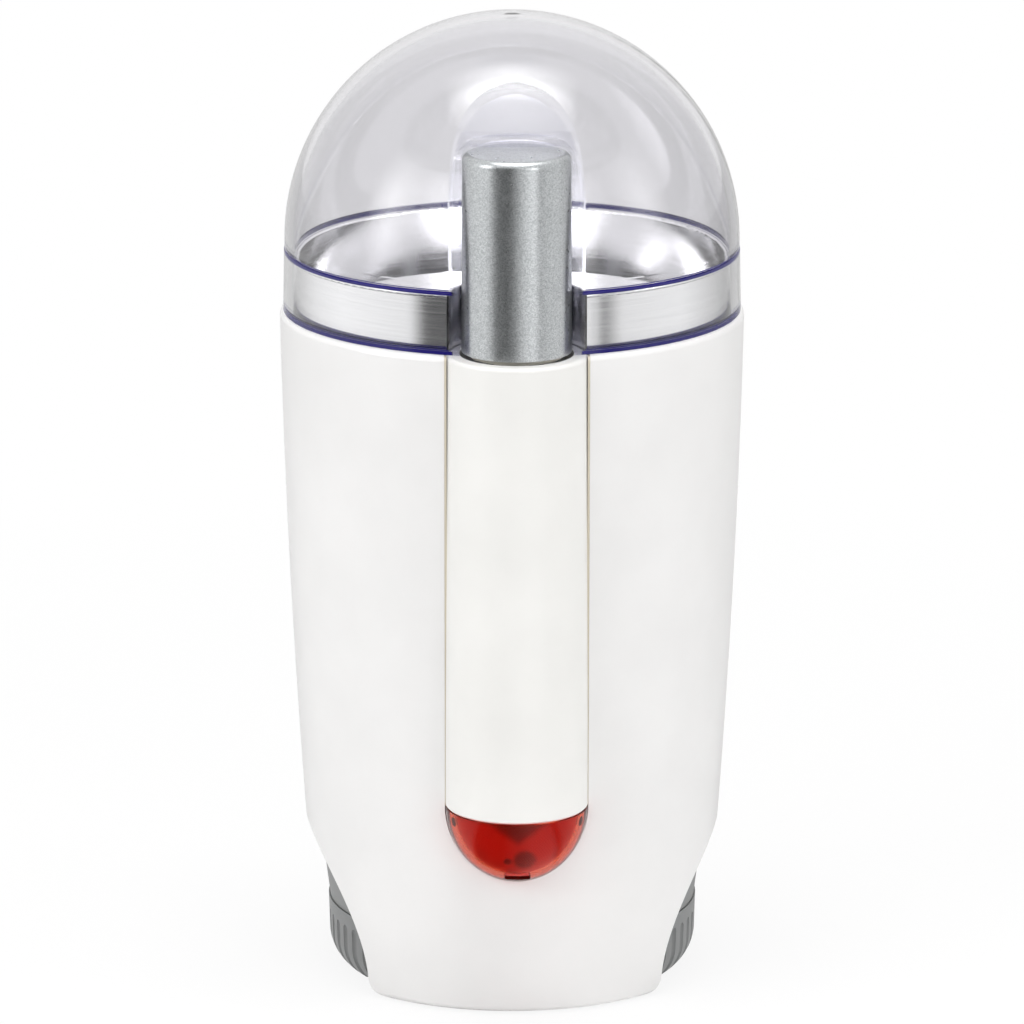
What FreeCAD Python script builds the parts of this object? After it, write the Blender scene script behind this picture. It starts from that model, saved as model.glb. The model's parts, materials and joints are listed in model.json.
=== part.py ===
import FreeCAD, Part
import math
import os

# Electric spice grinder. Millimetres, +Z up, the front faces -Y.
# The origin is on the drive axis, at the floor.

V = FreeCAD.Vector
UP = V(0, 0, 1)
ORIGIN = V(0, 0, 0)

# Clearances
seam = 0.15
seat_gap = 0.1
slide_gap = 0.4
running_gap = 0.05
cut_margin = 1.0

# Housing
foot_drop = 0.5
rim_z = 135.3
rim_round = 1.2
foot_radius = 39.5
toe_round = 1.0
shoulder_radius = 46.3
side_bulge = 1.08
housing_wall = 2.0

# The arch through both sides of the housing's foot
arch_radius = 26.7
arch_z = 4.5
arch_foot_round = 3.0

# Front column, lens and lamp
column_y = -40.0
column_radius = 14.0
column_wall = 2.2
column_top_drop = 0.3
column_depth = 6.0
column_flange = 3.0
column_plate = 2.0
column_top_cut = 1.2
column_round = 0.8
column_chamfer = 0.4
lens_z = 43.6
lens_drop = 15.2
lens_wall = 1.6
lens_depth = 3.5
lens_notch_width = 5.0
lens_notch_height = 1.3
lens_notch_rise = 1.9
stud_radius = 0.9
stud_length = 2.0
stud_reach = 11.6
stud_drop = 2.0
lamp_radius = 2.5
lamp_drop = 8.2
lamp_forward = 4.0
lamp_plug = 4.3
holder_width = 10.0
holder_height = 6.0

# Push button
button_radius = 10.75
button_height = 39.0
button_wall = 1.6
button_top = 2.0
button_round = 1.4
button_draft = 0.2
button_lift = 0.6
button_travel = 3.5
well_depth = 4.0
well_wall = 1.85
well_floor = 2.0
stem_radius = 4.0
stem_below = 9.5
stem_collar = 2.0
sleeve_drop = 1.0
sleeve_wall = 1.5
spring_length = 18.0
spring_wire = 0.8
spring_radius = 5.6
spring_turns = 7

# Switch
plunger_radius = 1.8
plunger_height = 10.3
switch_width = 12.0
switch_depth = 8.0
switch_height = 15.0
plunger_stand = 6.3
shelf_thickness = 2.0

# Lid
lid_gap = 0.2
lid_inset = 0.65
lid_taper = 0.25
lid_skirt = 12.1
lid_groove = 0.25
lid_groove_height = 0.5
dome_rise = 1.9
dome_inset = 0.35
lid_wall = 1.9
pocket_wall = 1.4
pocket_ceiling_gap = 0.5

# Grinding bowl
bowl_steel = 0.7
gasket_width = 1.3
bowl_rim_below = 0.9
bowl_bead = 0.55
bowl_depth = 46.0
bowl_corner = 5.4
bowl_cup_top = 24.0
bowl_cup_radius = 31.0
bowl_cup_draft = 1.4
bowl_flare = 9.0
bowl_notch_floor = 3.0
bowl_collar_height = 3.0
seal_radius = 6.1
seal_flange = 8.4
seal_gap = 0.3
seal_depth = 3.0

# Blade
blade_width = 9.0
blade_thickness = 1.4
blade_flat = 15.0
blade_tip = 11.0
blade_tip_deg = 22.0
blade_stand = 1.0
spacer_radius = 5.0
spacer_height = 1.6
nut_across = 8.0
nut_height = 3.6

# Chassis
deck_thickness = 4.0
deck_wall_gap = 1.1
cradle_gap = 0.5
cradle_wall = 2.0
cradle_height = 21.0
shaft_hole = 7.0
column_bay = 17.6

# Motor
shaft_radius = 3.0
core_radius = 16.0
core_height = 22.0
core_slots = 12
core_slot_width = 2.0
core_slot_depth = 6.0
air_gap = 0.6
stator_radius = 30.0
stator_yoke = 5.0
pole_width = 12.0
shoe_thickness = 2.2
shoe_half_deg = 52.0
coil_width = 6.5
coil_overhang = 6.0
winding_overhang = 6.0
commutator_radius = 9.0
commutator_height = 11.0
commutator_gap = 0.6
commutator_slot = 0.5
brush_gap = 0.2
brush_width = 5.0
brush_height = 6.0
brush_length = 9.0
holder_wall = 1.5
brush_tube_length = 16.0
brush_spring_wire = 0.5
brush_spring_turns = 6
bracket_thickness = 2.5
bracket_radius = 27.0
bracket_leg = 4.0
bracket_screw_radius = 27.0
bearing_radius = 6.0
bearing_height = 8.0
bearing_housing = 2.0
upper_leg = 8.0
lower_leg = 23.5
mount_height = 7.5
mount_radius = 5.0
mount_circle = 20.0
mount_count = 3
fan_post_gap = 1.8
fan_height = 6.0
fan_hub = 5.5
fan_blades = 9
fan_blade = 1.2
fan_drop = 1.0

# Screws
screw_radius = 1.5
head_radius = 2.7
head_height = 2.0
recess_depth = 1.0
recess_width = 0.7
recess_length = 3.2
screw_grip = 8.0
post_radius = 3.2
boss_inset = 4.1
boss_rib = 2.4
boss_height = 16.0
base_boss_inset = 4.5
base_boss_z = 35.0
corner_angles = (45.0, 135.0, 225.0, 315.0)

# Base
collar_bottom_z = 14.0
collar_top_z = 34.0
collar_seam = 0.1
collar_step = 0.3
collar_wall = 2.0
collar_lip = 4.0
collar_lip_wall = 1.6
ring_gap = 0.4
ring_flare = 0.2
ring_wall = 4.1
ring_round_z = 7.0
ring_round = 8.0
flute_count = 60
flute_radius = 1.0
flute_depth = 0.6
flute_top_z = 11.3
flute_sweep_deg = 75.0
plate_inset = 1.5
plate_thickness = 2.3
ring_ledge = 2.0
ring_ledge_reach = 0.9
vent_count = 12
vent_width = 3.0
vent_inner = 6.0
vent_inset = 2.5
foot_inset = 1.3
foot_width = 5.0
foot_height = 1.6
gland_z = 8.2
gland_radius = 4.8
gland_bore = 3.2
gland_flange = 6.5
gland_flange_thickness = 1.5
gland_length = 10.8
terminal_size = (18.0, 9.0, 10.0)
terminal_inset = 7.0
terminal_screw_radius = 1.6
terminal_screw_recess = 2.0
capacitor_size = (18.0, 8.0, 11.0)
capacitor_y = -21.0

# Radii that follow from the sizes above
bowl_radius = shoulder_radius - housing_wall - gasket_width - bowl_steel
lid_radius = shoulder_radius - lid_inset
dome_radius = lid_radius - dome_inset
ring_radius = foot_radius - housing_wall - ring_gap
ring_top_radius = ring_radius + ring_flare
ring_inner = ring_radius - ring_wall
collar_bottom_radius = ring_top_radius - collar_step
plate_radius = ring_inner - plate_inset
base_boss_circle = plate_radius - base_boss_inset
fan_radius = base_boss_circle - post_radius - fan_post_gap
foot_outer = base_boss_circle - head_radius - foot_inset
foot_inner = foot_outer - foot_width
vent_outer = foot_inner - vent_inset

# Heights that follow from the sizes above
column_top = rim_z - column_top_drop
button_z = column_top + button_lift
button_top_z = button_z + button_height
well_z = column_top - well_depth
well_radius = button_radius + slide_gap
well_bottom = well_z - well_floor
lid_z = rim_z + lid_gap
skirt_top = lid_z + lid_skirt
dome_z = skirt_top + dome_rise
pocket_radius = button_radius + slide_gap
pocket_top = button_top_z + pocket_ceiling_gap
bowl_rim = skirt_top - bowl_rim_below
bowl_floor = bowl_rim - bowl_depth
bowl_under = bowl_floor - bowl_steel
deck_bottom = bowl_under - deck_thickness
bracket_top = deck_bottom - mount_height
upper_bracket_z = bracket_top - bracket_thickness
core_top = upper_bracket_z - upper_leg
core_bottom = core_top - core_height
lower_bracket_top = core_bottom - lower_leg
lower_bracket_z = lower_bracket_top - bracket_thickness
fan_top = lower_bracket_z - bearing_housing - fan_drop
spring_top = well_z + spring_length
stem_bottom = well_bottom - stem_below
blade_z = bowl_floor + bowl_collar_height + blade_stand + blade_stand + spacer_height
plate_top = foot_drop + plate_thickness


# Shapes used by several sub-parts

def cylinder(radius, bottom, top, x=0.0, y=0.0):
    return Part.makeCylinder(radius, top - bottom, V(x, y, bottom))


def tube(outer, inner, bottom, top, x=0.0, y=0.0):
    bore = cylinder(inner, bottom - cut_margin, top + cut_margin, x, y)
    return cylinder(outer, bottom, top, x, y).cut(bore)


def block(x_low, x_high, y_low, y_high, z_low, z_high):
    return Part.makeBox(x_high - x_low, y_high - y_low, z_high - z_low, V(x_low, y_low, z_low))


def turned(shape, degrees):
    copy = shape.copy()
    copy.rotate(ORIGIN, UP, degrees)
    return copy


def around(shape, count):
    return [turned(shape, 360.0 * step / count) for step in range(count)]


def at_angle(radius, degrees):
    angle = math.radians(degrees)
    return radius * math.cos(angle), radius * math.sin(angle)


def bowed(start, end, bow):
    """An arc's middle and end: its middle lies the bow's distance off the chord, to its right."""
    run = (end[0] - start[0], end[1] - start[1])
    length = math.hypot(*run)
    middle = (
        (start[0] + end[0]) / 2 + bow * run[1] / length,
        (start[1] + end[1]) / 2 - bow * run[0] / length,
    )
    return middle, end


def round_corner(centre, radius, from_deg, to_deg):
    """An arc's middle and end, about a centre."""
    middle, end = [
        (
            centre[0] + radius * math.cos(math.radians(angle)),
            centre[1] + radius * math.sin(math.radians(angle)),
        )
        for angle in ((from_deg + to_deg) / 2, to_deg)
    ]
    return middle, end


def outline(steps):
    """A closed face in the XZ plane. A step is a point, or the middle and end of an arc."""
    first = steps[0]
    edges = []
    here = first
    for step in list(steps[1:]) + [first]:
        if isinstance(step[0], tuple):
            middle, end = step
            arc = Part.Arc(V(here[0], 0, here[1]), V(middle[0], 0, middle[1]), V(end[0], 0, end[1]))
            edges.append(arc.toShape())
        else:
            end = step
            edges.append(Part.makeLine(V(here[0], 0, here[1]), V(end[0], 0, end[1])))
        here = end
    return Part.Face(Part.Wire(edges))


def spun(steps):
    return outline(steps).revolve(ORIGIN, UP, 360)


def joined(shapes):
    return shapes[0].multiFuse(shapes[1:]).removeSplitter()


def biarc(start, start_way, end, end_way):
    """Two arcs that join two points and keep both directions."""
    chord = end - start
    ways = start_way + end_way
    spread = 2.0 * (1.0 - start_way.dot(end_way))
    along = chord.dot(ways)
    reach = (-along + math.sqrt(along * along + spread * chord.dot(chord))) / spread
    first_corner = start + start_way * reach
    last_corner = end - end_way * reach
    middle = (first_corner + last_corner) * 0.5
    return [
        corner_arc(start, first_corner, middle),
        corner_arc(middle, last_corner, end),
    ]


def corner_arc(start, corner, end):
    chord_middle = (start + end) * 0.5
    half = (end - start).Length / 2
    rise = (corner - chord_middle).Length
    bulge = half * math.tan(math.atan2(rise, half) / 2)
    top = chord_middle + (corner - chord_middle) * (bulge / rise)
    return Part.Arc(start, top, end).toShape()


def coil_spring(radius, wire, length, turns):
    """An open spring on the Z axis, from z = 0 to its length."""
    quarter = math.pi / 2
    rise = (length - wire) / turns
    slope = rise / (2 * math.pi)

    def place(angle):
        return V(radius * math.cos(angle), radius * math.sin(angle), wire / 2 + slope * angle)

    def way(angle):
        return V(-radius * math.sin(angle), radius * math.cos(angle), slope).normalize()

    edges = []
    for step in range(turns * 4):
        low = step * quarter
        high = low + quarter
        edges += biarc(place(low), way(low), place(high), way(high))
    path = Part.Wire(edges)
    end = Part.Wire(Part.Circle(place(0), way(0), wire / 2).toShape())
    return path.makePipeShell([end], True, False)


# Housing

def housing_side(inset):
    """The casing's side from its foot to its shoulder, drawn inwards by the inset."""
    foot = (foot_radius - inset, foot_drop + toe_round)
    shoulder = (shoulder_radius - inset, rim_z - rim_round)
    return [foot, bowed(foot, shoulder, side_bulge)]


def side_radius(z):
    """The casing's outer radius at a height. So flat an arc is as good as a parabola."""
    low = foot_drop + toe_round
    share = (z - low) / (rim_z - rim_round - low)
    return foot_radius + (shoulder_radius - foot_radius) * share + 4 * side_bulge * share * (1 - share)


def housing_solid():
    toe_centre = (foot_radius - toe_round, foot_drop + toe_round)
    rim_centre = (shoulder_radius - rim_round, rim_z - rim_round)
    foot, side = housing_side(0.0)
    return spun([
        (0.0, foot_drop),
        (foot_radius - toe_round, foot_drop),
        round_corner(toe_centre, toe_round, 270, 360),
        side,
        round_corner(rim_centre, rim_round, 0, 90),
        (0.0, rim_z),
    ])


def housing_void():
    foot, side = housing_side(housing_wall)
    return spun([
        (0.0, foot_drop - cut_margin),
        (foot_radius - housing_wall, foot_drop - cut_margin),
        foot,
        side,
        (shoulder_radius - housing_wall, rim_z + cut_margin),
        (0.0, rim_z + cut_margin),
    ])


def arch_cutter():
    """The round arch through both sides, with its corners rounded at the floor."""
    edge = arch_radius + arch_foot_round
    corner_z = foot_drop + arch_foot_round
    arch = outline([
        (-edge, foot_drop - cut_margin),
        (-edge, foot_drop),
        round_corner((-edge, corner_z), arch_foot_round, -90, 0),
        (-arch_radius, arch_z),
        ((0.0, arch_z + arch_radius), (arch_radius, arch_z)),
        (arch_radius, corner_z),
        round_corner((edge, corner_z), arch_foot_round, 180, 270),
        (edge, foot_drop - cut_margin),
    ])
    prism = arch.extrude(V(0, 2 * shoulder_radius, 0))
    prism.translate(V(0, -shoulder_radius, 0))
    return turned(prism, 90)


def boss(circle, degrees, bottom, top, reach):
    """A screw post with a rib that runs out to the wall."""
    rib = block(0, circle + reach, -boss_rib / 2, boss_rib / 2, bottom, top)
    rib = rib.cut(cylinder(circle, bottom - cut_margin, top + cut_margin))
    x, y = at_angle(circle, degrees)
    return joined([cylinder(post_radius, bottom, top, x, y), turned(rib, degrees)])


def screw_holes(circle, bottom, top):
    holes = []
    for degrees in corner_angles:
        x, y = at_angle(circle, degrees)
        holes.append(cylinder(screw_radius, bottom, top, x, y))
    return holes


def housing():
    solid = housing_solid()
    bosses = []
    rows = ((upper_boss_circle(), deck_bottom), (base_boss_circle, base_boss_z + boss_height))
    for degrees in corner_angles:
        for circle, top in rows:
            bosses.append(boss(circle, degrees, top - boss_height, top, shoulder_radius).common(solid))
    shell = joined([solid.cut(housing_void())] + bosses)
    holes = screw_holes(upper_boss_circle(), deck_bottom - screw_grip, deck_bottom + cut_margin)
    holes += screw_holes(base_boss_circle, base_boss_z - cut_margin, base_boss_z + screw_grip)
    return shell.cut([arch_cutter(), inlet_hole(), column_slot()] + holes)


def column_slot():
    """The slot for the column and the lens, with an oval lower end."""
    half = column_radius + seam
    front = -shoulder_radius - cut_margin
    corners = [V(-half, front, lens_z), V(-half, front, rim_z + cut_margin)]
    corners += [V(half, front, rim_z + cut_margin), V(half, front, lens_z)]
    sides = [Part.makeLine(start, end) for start, end in zip(corners, corners[1:])]
    oval = Part.Ellipse(V(0, front, lens_z - lens_drop - seam), V(half, front, lens_z), V(0, front, lens_z))
    lower_end = Part.ArcOfEllipse(oval, -math.pi / 2, math.pi / 2).toShape()
    slot = Part.Face(Part.Wire(sides + [lower_end]))
    return slot.extrude(V(0, column_y + column_depth - front, 0))


# Front column, lens and lamp

def column_profile(radius, half, back, bottom, top):
    """A prism with a half-round front and straight sides."""
    front = cylinder(radius, bottom, top, 0, column_y)
    sides = block(-half, half, column_y, back, bottom, top)
    keep = block(-radius, radius, column_y - radius, column_y, bottom, top)
    return joined([front.common(keep), sides])


def front_column():
    bottom = lens_z + seat_gap
    notch_z = well_bottom - bowl_notch_floor
    shoulder = notch_z - seat_gap
    back = column_y + column_depth
    inner = column_radius - column_wall
    lower = column_profile(column_radius, column_radius, back, bottom, shoulder)
    flange = block(
        -column_radius - column_flange,
        column_radius + column_flange,
        back - column_plate,
        back,
        bottom + column_flange,
        shoulder,
    ).common(housing_void())
    upper = cylinder(column_radius, shoulder, column_top, 0, column_y)
    front = column_y - column_radius
    cut_y = column_y - column_top_cut
    front_only = block(-column_radius, column_radius, front, cut_y, shoulder, column_top)
    well = cylinder(well_radius + well_wall, notch_z + seat_gap, column_top, 0, column_y)
    body = joined([lower, flange, upper.common(front_only), well])
    ceiling = shoulder - column_plate
    channel = column_profile(inner, inner, back + cut_margin, bottom + column_plate, ceiling)
    chamber = cylinder(well_radius - well_floor, ceiling - cut_margin, well_bottom, 0, column_y)
    bowl_well = cylinder(well_radius, well_z, column_top + cut_margin, 0, column_y)
    guide = cylinder(stem_radius + running_gap, shoulder, well_z + cut_margin, 0, column_y)
    body = body.cut([channel, chamber, bowl_well, guide])
    shelf_top = switch_bottom()
    reach = inner + seam
    shelf = block(-reach, reach, column_y - column_depth, back, shelf_top - shelf_thickness, shelf_top)
    plate_high = bottom + column_plate + cut_margin
    lamp_hole = cylinder(lamp_radius + seam, bottom - cut_margin, plate_high, 0, column_y - lamp_forward)
    body = joined([body, shelf]).cut(lamp_hole)
    body = body.makeFillet(column_round, front_edges(body, column_top))
    return body.makeChamfer(column_chamfer, front_edges(body, bottom))


def front_edges(shape, z):
    """The round edges on the column's outside at a height."""
    found = []
    for edge in shape.Edges:
        if not isinstance(edge.Curve, Part.Circle):
            continue
        if abs(edge.Curve.Radius - column_radius) < seam and abs(edge.CenterOfMass.z - z) < seam:
            found.append(edge)
    return found


def lens_form(inset):
    """Half an egg, its round side down and its flat side level with the column's lower edge."""
    radius = column_radius - inset
    drop = lens_drop - inset
    oval = Part.Ellipse(V(0, 0, -drop), V(radius, 0, 0), ORIGIN)
    side = Part.ArcOfEllipse(oval, 0, math.pi / 2).toShape()
    lid_line = Part.makeLine(V(radius, 0, 0), ORIGIN)
    axis_line = Part.makeLine(ORIGIN, V(0, 0, -drop))
    form = Part.Face(Part.Wire([axis_line, side, lid_line])).revolve(ORIGIN, UP, 360)
    form.translate(V(0, column_y, lens_z))
    return form


def indicator_lens():
    front = column_y - column_radius
    back = column_y + lens_depth
    keep = block(-column_radius, column_radius, front, back, lens_z - lens_drop, lens_z)
    notch_bottom = lens_z - lens_drop + lens_notch_rise
    notch = block(
        -lens_notch_width / 2,
        lens_notch_width / 2,
        column_y - column_radius,
        column_y - lens_wall,
        notch_bottom,
        notch_bottom + lens_notch_height,
    )
    return lens_form(0.0).cut(lens_form(lens_wall)).common(keep).cut(notch)


def stud_places():
    level = math.sqrt(1 - (stud_drop / (lens_drop - lens_wall)) ** 2) * (column_radius - lens_wall)
    depth = math.sqrt(level ** 2 - stud_reach ** 2)
    return [(side * stud_reach, column_y - depth + seam, lens_z - stud_drop) for side in (-1, 1)]


def lens_studs():
    """Two short round heads behind the lens's upper corners."""
    inside = lens_form(lens_wall)
    studs = []
    for x, y, z in stud_places():
        outward = V(x, y - column_y, 0).normalize()
        start = V(x, y, z) - outward * stud_length
        rod = Part.makeCylinder(stud_radius, stud_length * 2, start, outward)
        studs.append(rod.common(inside))
    return Part.makeCompound(studs)


def lamp_bottom():
    return lens_z - lamp_drop


def indicator_lamp():
    y = column_y - lamp_forward
    top = lens_z + seat_gap + column_plate + lamp_plug
    glass = cylinder(lamp_radius, lamp_bottom(), top, 0, y)
    return joined([glass, Part.makeSphere(lamp_radius, V(0, y, lamp_bottom()))])


def lamp_holder():
    bottom = lens_z + seat_gap + column_plate
    half = holder_width / 2
    y = column_y - lamp_forward
    body = block(-half, half, y - half, y + half, bottom, bottom + holder_height)
    return body.cut(cylinder(lamp_radius, bottom - cut_margin, bottom + lamp_plug, 0, y))


# Push button, its spring and its switch

def push_button():
    """A plain cap with a slight draft and a rounded top edge, open below."""
    inner = button_radius - button_wall
    upper_radius = button_radius - button_draft
    round_centre = (upper_radius - button_round, button_top_z - button_round)
    steps = [
        (inner, button_z),
        (button_radius, button_z),
        (upper_radius, button_top_z - button_round),
        round_corner(round_centre, button_round, 0, 90),
        (0.0, button_top_z),
        (0.0, button_top_z - button_top),
        (inner, button_top_z - button_top),
    ]
    cap = spun(steps)
    cap.translate(V(0, column_y, 0))
    return cap


def button_stem():
    """The cap's core: a rod that pushes the switch, and a sleeve that fills the cap's open end."""
    rod = cylinder(stem_radius, stem_bottom, button_top_z - button_top, 0, column_y)
    sleeve_radius = button_radius - button_wall - running_gap
    collar_top = spring_top + stem_collar
    collar = cylinder(sleeve_radius, spring_top, collar_top, 0, column_y)
    sleeve = tube(sleeve_radius, sleeve_radius - sleeve_wall, button_z - sleeve_drop, collar_top, 0, column_y)
    return joined([rod, collar, sleeve])


def button_spring():
    spring = coil_spring(spring_radius, spring_wire, spring_length, spring_turns)
    spring.translate(V(0, column_y, well_z))
    return spring


def switch_bottom():
    return plunger_bottom() + plunger_height - plunger_stand - switch_height


def plunger_bottom():
    return stem_bottom - seat_gap - plunger_height


def switch_plunger():
    return cylinder(plunger_radius, plunger_bottom(), plunger_bottom() + plunger_height, 0, column_y)


def switch_body():
    bottom = switch_bottom()
    top = bottom + switch_height
    half = switch_width / 2
    depth = switch_depth / 2
    body = block(-half, half, column_y - depth, column_y + depth, bottom, top)
    bore_bottom = plunger_bottom() - button_travel - slide_gap
    return body.cut(cylinder(plunger_radius + running_gap, bore_bottom, top + cut_margin, 0, column_y))


# Lid

def pocket_prism(half, bottom, top, edge_round):
    """A prism round the button: round behind it, open to the front, with its top edge rounded."""
    front = -lid_radius - cut_margin - button_radius
    back = cylinder(half, bottom, top, 0, column_y)
    prism = joined([back, block(-half, half, front, column_y, bottom, top)])
    rounded = [
        edge for edge in prism.Edges
        if edge.BoundBox.ZMin > top - seam and edge.BoundBox.YMax > front + seam
    ]
    return prism.makeFillet(edge_round, rounded)


def lid_section(inset, bottom):
    """The dome and its skirt as a solid of revolution, drawn inwards by the inset."""
    ball = dome_radius - inset
    groove_z = skirt_top + lid_groove_height
    ledge = lid_radius - lid_taper - inset
    neck = ball - (lid_groove if inset == 0.0 else 0.0)
    return spun([
        (0.0, bottom),
        (lid_radius - inset, bottom),
        (ledge, skirt_top),
        (neck, skirt_top + lid_groove_height / 2),
        (ball, groove_z),
        (ball, dome_z),
        round_corner((0.0, dome_z), ball, 0, 90),
    ])


def lid_dome():
    outside = lid_section(0.0, lid_z)
    inside = lid_section(lid_wall, lid_z - cut_margin)
    inner_round = button_round + slide_gap
    outer_round = inner_round + pocket_wall
    pocket_outer = pocket_prism(pocket_radius + pocket_wall, lid_z, pocket_top + pocket_wall, outer_round)
    pocket_inner = pocket_prism(pocket_radius, lid_z - cut_margin, pocket_top, inner_round)
    shell = outside.cut(inside)
    return joined([shell, pocket_outer.common(outside)]).cut(pocket_inner)


# Bowl and its seals

def bowl_section(grow):
    """The bowl's inner surface as a solid of revolution, grown outwards by the steel's thickness."""
    cup_z = bowl_floor + bowl_cup_top
    flare_z = cup_z + bowl_flare
    floor = bowl_floor - grow
    base = bowl_cup_radius - bowl_cup_draft
    open_end = bowl_rim + (cut_margin if grow == 0.0 else 0.0)
    return spun([
        (0.0, floor),
        (base + grow - bowl_corner, floor),
        round_corner((base - bowl_corner + grow, floor + bowl_corner), bowl_corner, 270, 360),
        (bowl_cup_radius + grow, cup_z),
        (bowl_radius + grow, flare_z),
        (bowl_radius + grow, open_end),
        (0.0, open_end),
    ])


def bowl_notch(radius, bottom):
    return cylinder(radius, bottom, bowl_rim + 2 * cut_margin, 0, column_y)


def notch_radius():
    """Clears the button's well and, inside it, the lid's pocket."""
    return well_radius + well_wall + slide_gap


def grinding_bowl():
    """A pressed cup with a dent for the button's pocket, a rolled rim and a collar for the seal."""
    notch_z = well_bottom - bowl_notch_floor
    outside = bowl_section(bowl_steel).cut(bowl_notch(notch_radius(), notch_z))
    inside = bowl_section(0.0).cut(bowl_notch(notch_radius() + bowl_steel, notch_z - bowl_steel))
    bead = Part.makeTorus(bowl_radius + bowl_bead, bowl_bead, V(0, 0, bowl_rim))
    bead = bead.cut(bowl_notch(notch_radius(), notch_z))
    collar = cylinder(seal_radius + bowl_steel, bowl_floor - bowl_steel / 2, bowl_floor + bowl_collar_height)
    hole = cylinder(seal_radius, bowl_under - cut_margin, bowl_floor + bowl_collar_height + cut_margin)
    return joined([outside.cut(inside), bead, collar]).cut(hole)


def bowl_gasket():
    """A soft ring between bowl and housing, open where the column stands."""
    outer = shoulder_radius - housing_wall
    top = rim_z - seat_gap
    bottom = rim_z - rim_round
    ring = tube(outer - seat_gap / 2, bowl_radius + bowl_steel, bottom, top)
    gap = column_radius + column_flange
    front = block(-gap, gap, -shoulder_radius, 0, bottom - cut_margin, top + cut_margin)
    return ring.cut(front)


def shaft_seal():
    top = bowl_floor + bowl_collar_height
    bottom = bowl_under - seal_depth
    body = cylinder(seal_radius, bottom, top)
    flange = cylinder(seal_flange, top, top + blade_stand)
    bore = cylinder(shaft_radius + seal_gap, bottom - cut_margin, top + blade_stand + cut_margin)
    return joined([body, flange]).cut(bore)


# Blade

def blade():
    """A flat bar with two tips bent upwards."""
    half = blade_width / 2
    top = blade_z + blade_thickness
    bar = block(-blade_flat, blade_flat, -half, half, blade_z, top)
    tip = block(0, blade_tip, -half, half, 0, blade_thickness)
    nose = cylinder(blade_tip, -cut_margin, blade_thickness + cut_margin)
    tip = tip.common(nose)
    tip.rotate(ORIGIN, V(0, 1, 0), -blade_tip_deg)
    tip.translate(V(blade_flat - blade_thickness * math.sin(math.radians(blade_tip_deg)), 0, blade_z))
    body = joined([bar, tip, turned(tip, 180)])
    return body.cut(cylinder(shaft_radius, blade_z - cut_margin, top + cut_margin))


def blade_spacer():
    return tube(spacer_radius, shaft_radius, blade_z - spacer_height, blade_z)


def blade_nut():
    bottom = blade_z + blade_thickness
    corner = nut_across / math.sqrt(3)
    points = [V(*at_angle(corner, 60 * step), bottom) for step in range(7)]
    hexagon = Part.Face(Part.makePolygon(points)).extrude(V(0, 0, nut_height))
    dome = Part.makeSphere(nut_across / 2, V(0, 0, bottom + nut_height - nut_across / 4))
    cap = joined([hexagon, dome.common(cylinder(nut_across, bottom, bottom + 2 * nut_height))])
    return cap.cut(cylinder(shaft_radius, bottom - cut_margin, shaft_top()))


def shaft_top():
    return blade_z + blade_thickness + nut_height - blade_stand


# Chassis

def deck_radius():
    return side_radius(deck_bottom) - housing_wall - deck_wall_gap


def upper_boss_circle():
    return deck_radius() - boss_inset


def chassis():
    """The inner frame: a deck under the bowl and a cradle wall round its cup."""
    top = bowl_under
    deck = cylinder(deck_radius(), deck_bottom, top)
    cradle_inner = bowl_cup_radius + bowl_steel + cradle_gap
    cradle = tube(cradle_inner + cradle_wall, cradle_inner, top - cut_margin, top + cradle_height)
    back = column_y + column_depth + slide_gap
    front = -deck_radius() - cut_margin
    bay = block(
        -column_bay, column_bay, front, back, deck_bottom - cut_margin, top + cradle_height + cut_margin
    )
    centre = cylinder(shaft_hole, deck_bottom - cut_margin, top + cut_margin)
    holes = screw_holes(upper_boss_circle(), deck_bottom - cut_margin, top + cut_margin)
    for degrees in corner_angles:
        x, y = at_angle(upper_boss_circle(), degrees)
        holes.append(cylinder(head_radius + slide_gap, top, top + cradle_height + cut_margin, x, y))
    for x, y in mount_places():
        holes.append(cylinder(screw_radius, deck_bottom - cut_margin, deck_bottom + deck_thickness / 2, x, y))
    return joined([deck, cradle]).cut([bay, centre] + holes)


def mount_places():
    return [at_angle(mount_circle, 90 + 360.0 * step / mount_count) for step in range(mount_count)]


# Screws

def screw(x, y, head_bottom, tip):
    """A cross-head screw whose head's far face is at head_bottom and which ends at its tip."""
    way = 1 if tip > head_bottom else -1
    neck = head_bottom + way * head_height
    low, high = sorted((head_bottom, neck))
    head = cylinder(head_radius, low, high, x, y)
    low, high = sorted((neck, tip))
    shank = cylinder(screw_radius, low, high, x, y)
    low, high = sorted((head_bottom - way * cut_margin, head_bottom + way * recess_depth))
    half_long = recess_length / 2
    half_wide = recess_width / 2
    cross = [
        block(x - half_long, x + half_long, y - half_wide, y + half_wide, low, high),
        block(x - half_wide, x + half_wide, y - half_long, y + half_long, low, high),
    ]
    return joined([head, shank]).cut(cross)


def chassis_screws():
    top = bowl_under + head_height
    screws = []
    for degrees in corner_angles:
        x, y = at_angle(upper_boss_circle(), degrees)
        screws.append(screw(x, y, top, deck_bottom - screw_grip))
    return Part.makeCompound(screws)


def mount_screws():
    head = upper_bracket_z - head_height
    tip = deck_bottom + deck_thickness / 2
    return Part.makeCompound([screw(x, y, head, tip) for x, y in mount_places()])


def motor_screw_places():
    return [(bracket_screw_radius * side, 0.0) for side in (-1, 1)]


def motor_screws():
    head = lower_bracket_z - head_height
    places = [(y, x) for x, y in motor_screw_places()]
    return Part.makeCompound([screw(x, y, head, upper_bracket_z + bracket_thickness) for x, y in places])


def base_screws():
    screws = []
    for degrees in corner_angles:
        x, y = at_angle(base_boss_circle, degrees)
        screws.append(screw(x, y, foot_drop, base_boss_z + screw_grip))
    return Part.makeCompound(screws)


# Motor

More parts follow.
